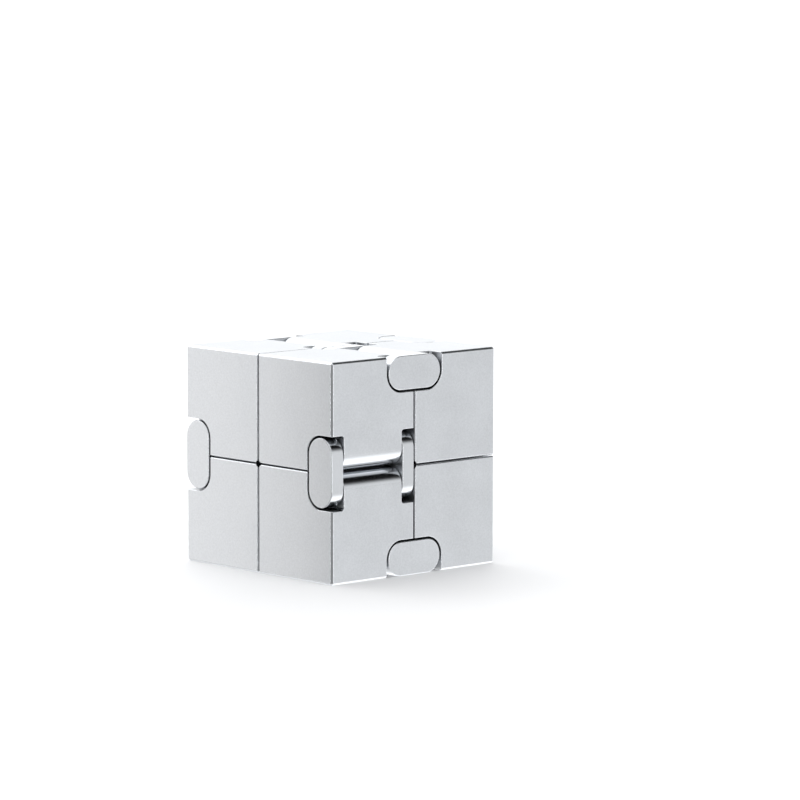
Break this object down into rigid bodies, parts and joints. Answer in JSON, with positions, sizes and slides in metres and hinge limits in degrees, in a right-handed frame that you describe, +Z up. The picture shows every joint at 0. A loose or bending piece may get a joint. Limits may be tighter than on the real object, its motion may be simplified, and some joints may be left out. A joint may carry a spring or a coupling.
{
  "type": "folding fidget cube",
  "caption": "Metal fidget cube of smaller cubelets joined in a closed chain by two-pin links, so it folds and unfolds endlessly.",
  "frame": {"origin": "centre of the closed cube's footprint, on the surface it stands on", "axes": "+Z up; +X from the left to the right face, along the front face; +Y from the front to the back face"},
  "size_m": [0.04, 0.04, 0.04],
  "materials": {
    "cubelet_body": "fine blasted satin",
    "link_plate": "satin, rim edges lightly broken",
    "dowel_pin": "ground"
  },
  "bodies": {
    "front_left_pair": {"cubelet_lower_front_left": "cubelet_body", "cubelet_upper_front_left": "cubelet_body", "link_front_left_plate_outer": "link_plate", "link_front_left_plate_inner": "link_plate", "link_front_left_pin_lower": "dowel_pin", "link_front_left_pin_upper": "dowel_pin"},
    "top_front_link": {"link_top_front_plate_outer": "link_plate", "link_top_front_plate_inner": "link_plate", "link_top_front_pin_left": "dowel_pin", "link_top_front_pin_right": "dowel_pin"},
    "upper_front_right": {"cubelet_upper_front_right": "cubelet_body"},
    "right_upper_link": {"link_right_upper_plate_outer": "link_plate", "link_right_upper_plate_inner": "link_plate", "link_right_upper_pin_front": "dowel_pin", "link_right_upper_pin_back": "dowel_pin"},
    "upper_back_right": {"cubelet_upper_back_right": "cubelet_body"},
    "top_back_link": {"link_top_back_plate_outer": "link_plate", "link_top_back_plate_inner": "link_plate", "link_top_back_pin_left": "dowel_pin", "link_top_back_pin_right": "dowel_pin"},
    "back_left_pair": {"cubelet_lower_back_left": "cubelet_body", "cubelet_upper_back_left": "cubelet_body", "link_back_left_plate_outer": "link_plate", "link_back_left_plate_inner": "link_plate", "link_back_left_pin_lower": "dowel_pin", "link_back_left_pin_upper": "dowel_pin"},
    "bottom_front_link": {"link_bottom_front_plate_outer": "link_plate", "link_bottom_front_plate_inner": "link_plate", "link_bottom_front_pin_left": "dowel_pin", "link_bottom_front_pin_right": "dowel_pin"},
    "lower_front_right": {"cubelet_lower_front_right": "cubelet_body"},
    "right_lower_link": {"link_right_lower_plate_outer": "link_plate", "link_right_lower_plate_inner": "link_plate", "link_right_lower_pin_front": "dowel_pin", "link_right_lower_pin_back": "dowel_pin"},
    "lower_back_right": {"cubelet_lower_back_right": "cubelet_body"},
    "bottom_back_link": {"link_bottom_back_plate_outer": "link_plate", "link_bottom_back_plate_inner": "link_plate", "link_bottom_back_pin_left": "dowel_pin", "link_bottom_back_pin_right": "dowel_pin"}
  },
  "joints": [
    {"name": "top_front_a", "type": "hinge", "parent": "front_left_pair", "child": "top_front_link", "pos_m": [-0.00323, -0.01, 0.0369], "axis": [0, -1, 0], "range_deg": [0, 90]},
    {"name": "top_front_b", "type": "hinge", "parent": "top_front_link", "child": "upper_front_right", "pos_m": [0.00323, -0.01, 0.0369], "axis": [0, -1, 0], "range_deg": [0, 90]},
    {"name": "right_upper_a", "type": "hinge", "parent": "upper_front_right", "child": "right_upper_link", "pos_m": [0.0169, -0.00323, 0.03], "axis": [0, 0, -1], "range_deg": [0, 90]},
    {"name": "right_upper_b", "type": "hinge", "parent": "right_upper_link", "child": "upper_back_right", "pos_m": [0.0169, 0.00323, 0.03], "axis": [0, 0, -1], "range_deg": [0, 90]},
    {"name": "top_back_b", "type": "hinge", "parent": "upper_back_right", "child": "top_back_link", "pos_m": [0.00323, 0.01, 0.0369], "axis": [0, 1, 0], "range_deg": [0, 90]},
    {"name": "top_back_a", "type": "hinge", "parent": "top_back_link", "child": "back_left_pair", "pos_m": [-0.00323, 0.01, 0.0369], "axis": [0, 1, 0], "range_deg": [0, 90]},
    {"name": "bottom_front_a", "type": "hinge", "parent": "front_left_pair", "child": "bottom_front_link", "pos_m": [-0.00323, -0.01, 0.0031], "axis": [0, 1, 0], "range_deg": [0, 90]},
    {"name": "bottom_front_b", "type": "hinge", "parent": "bottom_front_link", "child": "lower_front_right", "pos_m": [0.00323, -0.01, 0.0031], "axis": [0, 1, 0], "range_deg": [0, 90]},
    {"name": "right_lower_a", "type": "hinge", "parent": "lower_front_right", "child": "right_lower_link", "pos_m": [0.0169, -0.00323, 0.01], "axis": [0, 0, -1], "range_deg": [0, 90]},
    {"name": "right_lower_b", "type": "hinge", "parent": "right_lower_link", "child": "lower_back_right", "pos_m": [0.0169, 0.00323, 0.01], "axis": [0, 0, -1], "range_deg": [0, 90]},
    {"name": "bottom_back_b", "type": "hinge", "parent": "lower_back_right", "child": "bottom_back_link", "pos_m": [0.00323, 0.01, 0.0031], "axis": [0, -1, 0], "range_deg": [0, 90]}
  ],
  "couplings": [
    {"joint": "top_back_b", "follows": "top_front_b", "ratio": 1},
    {"joint": "top_back_a", "follows": "top_front_a", "ratio": 1},
    {"joint": "right_lower_a", "follows": "right_upper_a", "ratio": 1},
    {"joint": "right_lower_b", "follows": "right_upper_b", "ratio": 1},
    {"joint": "bottom_back_b", "follows": "bottom_front_b", "ratio": 1}
  ]
}
